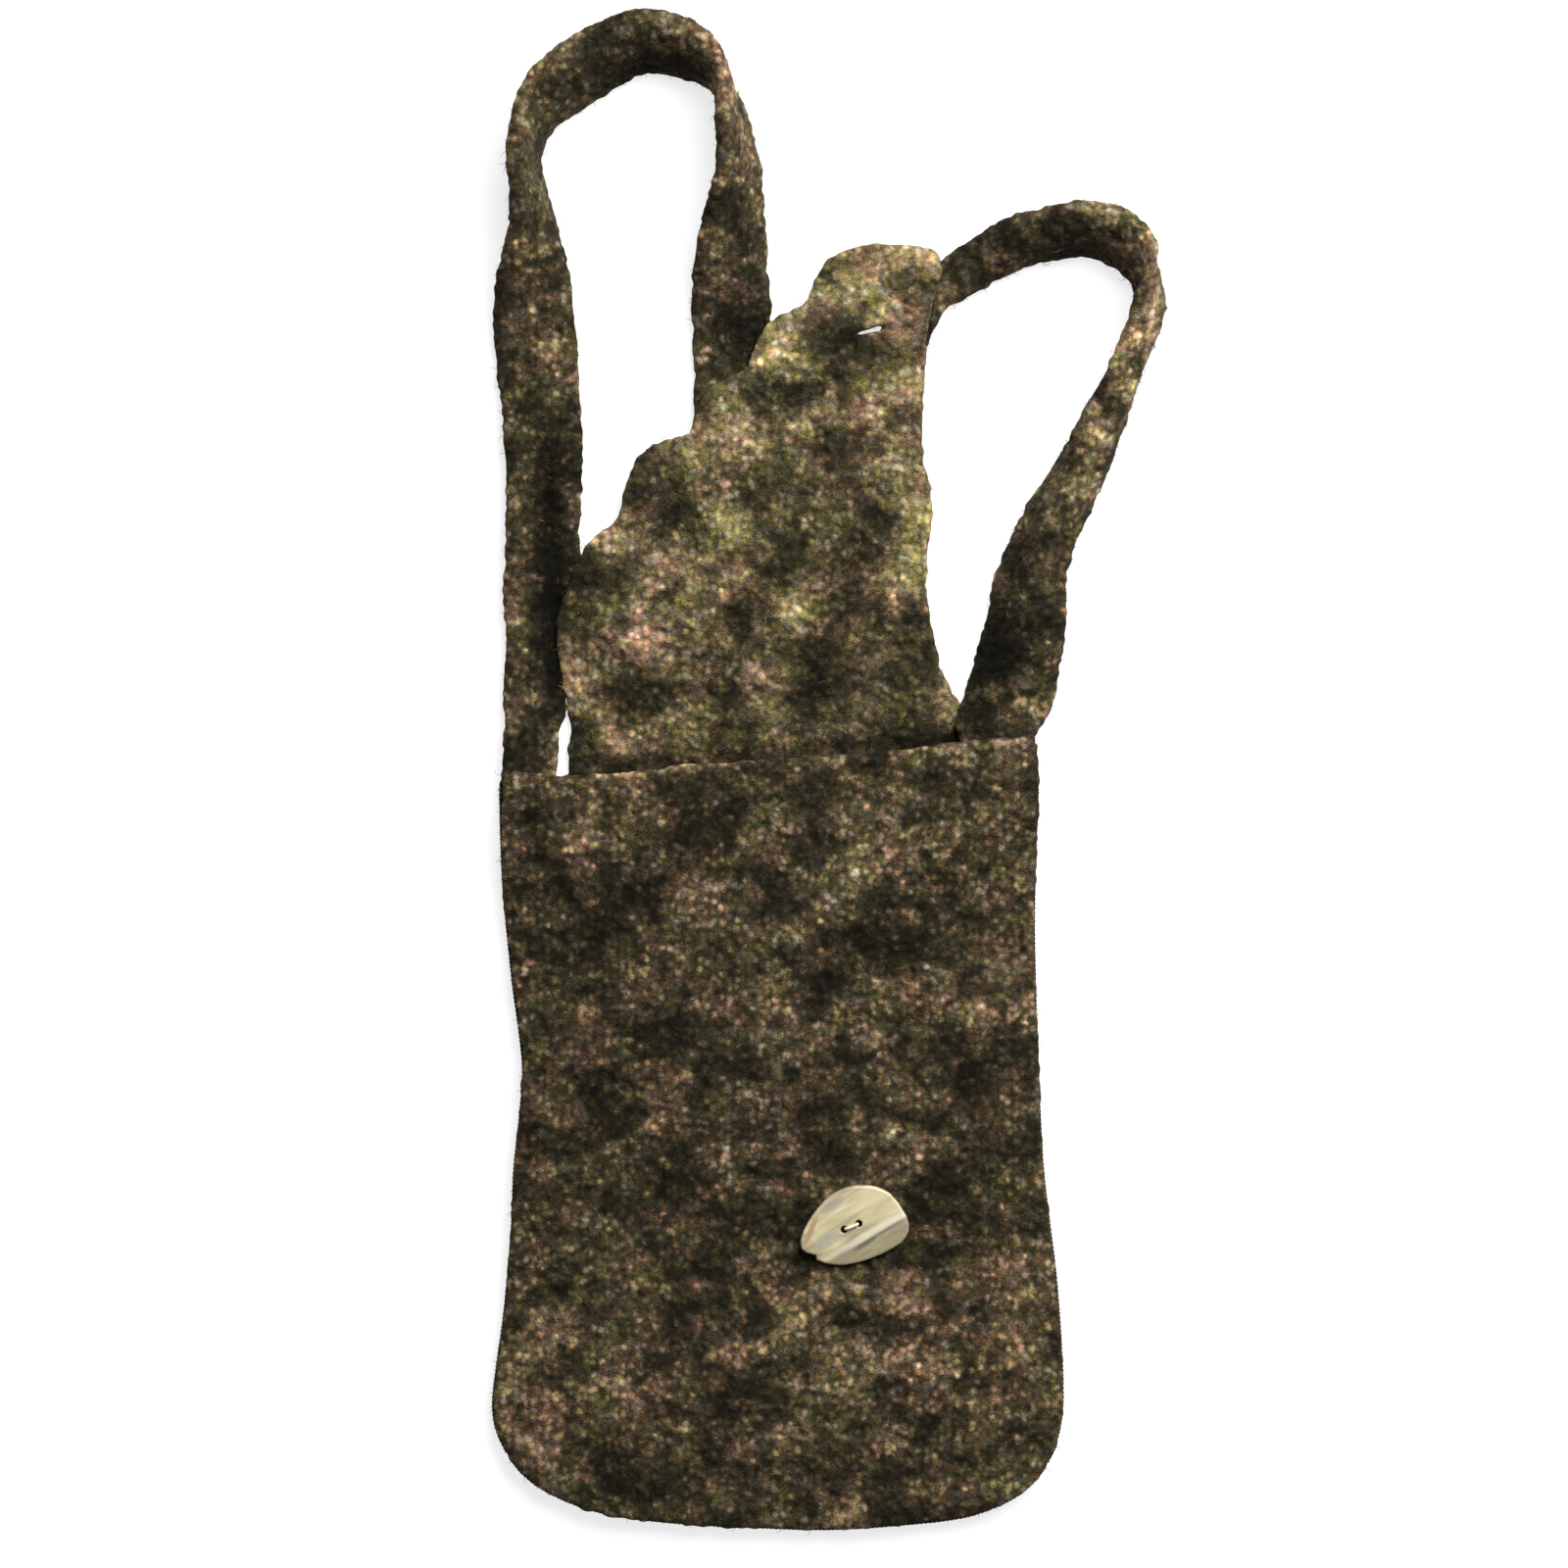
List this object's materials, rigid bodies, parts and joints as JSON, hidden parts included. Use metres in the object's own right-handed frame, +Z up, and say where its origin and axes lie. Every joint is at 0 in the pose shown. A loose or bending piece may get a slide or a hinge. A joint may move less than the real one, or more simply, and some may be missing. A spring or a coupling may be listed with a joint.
{
  "type": "crossbody satchel",
  "caption": "Felted wool crossbody pouch laid flat, with an open stepped flap, a long rolled felt strap in two loops, and a horn button.",
  "frame": {"origin": "middle of the whole laid-out object, at the level of the table under the back panel", "axes": "+X to the right as seen from above, +Y from the pouch's bottom up to the flap and the strap loops, +Z up off the table"},
  "size_m": [0.274, 0.6181, 0.0307],
  "materials": {
    "body_felt": "thick felted wool, pebbled, mottled brown, olive and charcoal",
    "flap_felt": "thick felted wool, pebbled, mottled with more olive and tan",
    "strap_felt": "thick felted wool, pebbled, dark brown and charcoal",
    "seam_wool": "dark wool yarn, felted in",
    "horn": "polished horn, streaked cream, grey and amber",
    "cream_cord": "waxed cream cotton cord"
  },
  "bodies": {
    "pouch": {"front_panel": "body_felt", "back_panel": "body_felt", "left_seam_yarn": "seam_wool", "right_seam_yarn": "seam_wool", "bottom_seam_yarn": "seam_wool", "left_strap_end": "strap_felt", "right_strap_end": "strap_felt", "left_strap_stitch": "seam_wool", "right_strap_stitch": "seam_wool", "horn_button": "horn", "button_thread": "cream_cord"},
    "flap": {"flap": "flap_felt"},
    "strap": {"strap": "strap_felt"}
  },
  "joints": [
    {"name": "flap_fold", "type": "hinge", "parent": "pouch", "child": "flap", "pos_m": [-0.0245, 0.004, 0.012], "axis": [1, 0, 0], "range_deg": [0, 177]},
    {"name": "strap_swing", "type": "hinge", "parent": "pouch", "child": "strap", "pos_m": [-0.0245, 0.016, -0.0005], "axis": [1, 0, 0], "range_deg": [-170, 0]}
  ]
}
